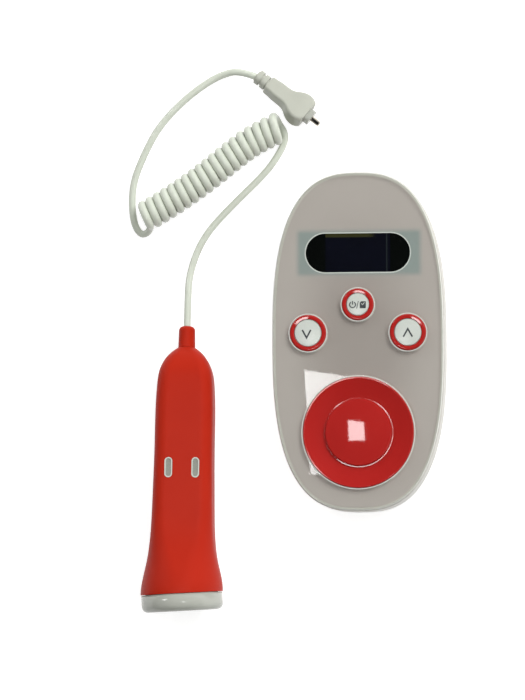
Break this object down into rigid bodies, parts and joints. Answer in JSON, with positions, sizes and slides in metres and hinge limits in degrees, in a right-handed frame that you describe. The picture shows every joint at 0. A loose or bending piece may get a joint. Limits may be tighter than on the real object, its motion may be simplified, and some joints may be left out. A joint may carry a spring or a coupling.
{
  "type": "fetal doppler monitor",
  "caption": "Handheld fetal doppler monitor: oval console with display, keys and dished speaker, and a flared probe on a curly cord ending in a pin plug.",
  "frame": {"origin": "centre of the console's flat back, on the surface that it lies on", "axes": "+Z out of the console's front face, +Y towards its display end, +X to the right of its face; the probe lies to the left, at -X"},
  "size_m": [0.1426, 0.2442, 0.0366],
  "materials": {
    "white_abs": "moulded, satin gloss",
    "clear_acrylic": "clear cast sheet, polished",
    "grey_print": "screen-printed film",
    "black_abs": "moulded, matt",
    "display_glass": "dark display glass",
    "red_gloss_abs": "moulded, high gloss",
    "silver_key": "moulded, pearl finish",
    "zinc_steel": "zinc plated",
    "ferrite": "sintered ferrite",
    "paper_cone": "pressed paper pulp",
    "circuit_board": "solder mask over glass laminate",
    "cell_sleeve": "printed plastic sleeve on steel can",
    "nickel_plate": "nickel plated",
    "red_satin_abs": "moulded, fine satin texture",
    "red_rubber": "moulded soft PVC",
    "ceramic": "silvered piezo ceramic",
    "foam_rubber": "closed-cell foam",
    "white_pvc": "extruded soft PVC"
  },
  "bodies": {
    "console": {"rear_shell": "white_abs", "front_shell": "white_abs", "front_panel": "clear_acrylic", "printed_film": "grey_print", "display_frame": "black_abs", "display_glass": "display_glass", "power_bezel": "red_gloss_abs", "down_bezel": "red_gloss_abs", "up_bezel": "red_gloss_abs", "speaker_cover": "red_gloss_abs", "speaker_cap": "red_gloss_abs", "loudspeaker_basket": "zinc_steel", "loudspeaker_magnet": "ferrite", "loudspeaker_cone": "paper_cone", "main_board": "circuit_board", "tact_switches": "black_abs", "board_components": "black_abs", "probe_socket": "black_abs", "earphone_socket": "black_abs", "case_screws": "zinc_steel", "battery_cell_1": "cell_sleeve", "battery_cell_2": "cell_sleeve", "battery_contacts": "nickel_plate", "battery_springs": "nickel_plate"},
    "power_button": {"power_button": "silver_key"},
    "down_button": {"down_button": "silver_key"},
    "up_button": {"up_button": "silver_key"},
    "battery_door": {"battery_door": "white_abs"},
    "probe": {"probe_top_shell": "red_satin_abs", "probe_bottom_shell": "red_satin_abs", "probe_cap": "white_abs", "piezo_crystals": "ceramic", "crystal_backing": "foam_rubber", "probe_board": "circuit_board", "probe_screws": "zinc_steel", "indicator_left": "white_abs", "indicator_right": "white_abs", "strain_relief": "red_rubber", "cord_probe_run": "white_pvc", "cord_coil": "white_pvc", "cord_plug_run": "white_pvc", "plug_relief": "white_pvc", "plug_body": "white_pvc", "plug_collar": "white_abs", "plug_pin": "nickel_plate"}
  },
  "joints": [
    {"name": "power_press", "type": "slide", "parent": "console", "child": "power_button", "axis": [0, 0, -1], "range_m": [0, 0.0007], "stiffness_N_per_m": 1500},
    {"name": "down_press", "type": "slide", "parent": "console", "child": "down_button", "axis": [0, 0, -1], "range_m": [0, 0.0007], "stiffness_N_per_m": 1500},
    {"name": "up_press", "type": "slide", "parent": "console", "child": "up_button", "axis": [0, 0, -1], "range_m": [0, 0.0007], "stiffness_N_per_m": 1500},
    {"name": "battery_door_swing", "type": "hinge", "parent": "console", "child": "battery_door", "pos_m": [0, 0.04188, 0], "axis": [1, 0, 0], "range_deg": [0, 75]},
    {"name": "probe_lift", "type": "slide", "parent": "console", "child": "probe", "axis": [0, 0, 1], "range_m": [0, 0.15]}
  ]
}
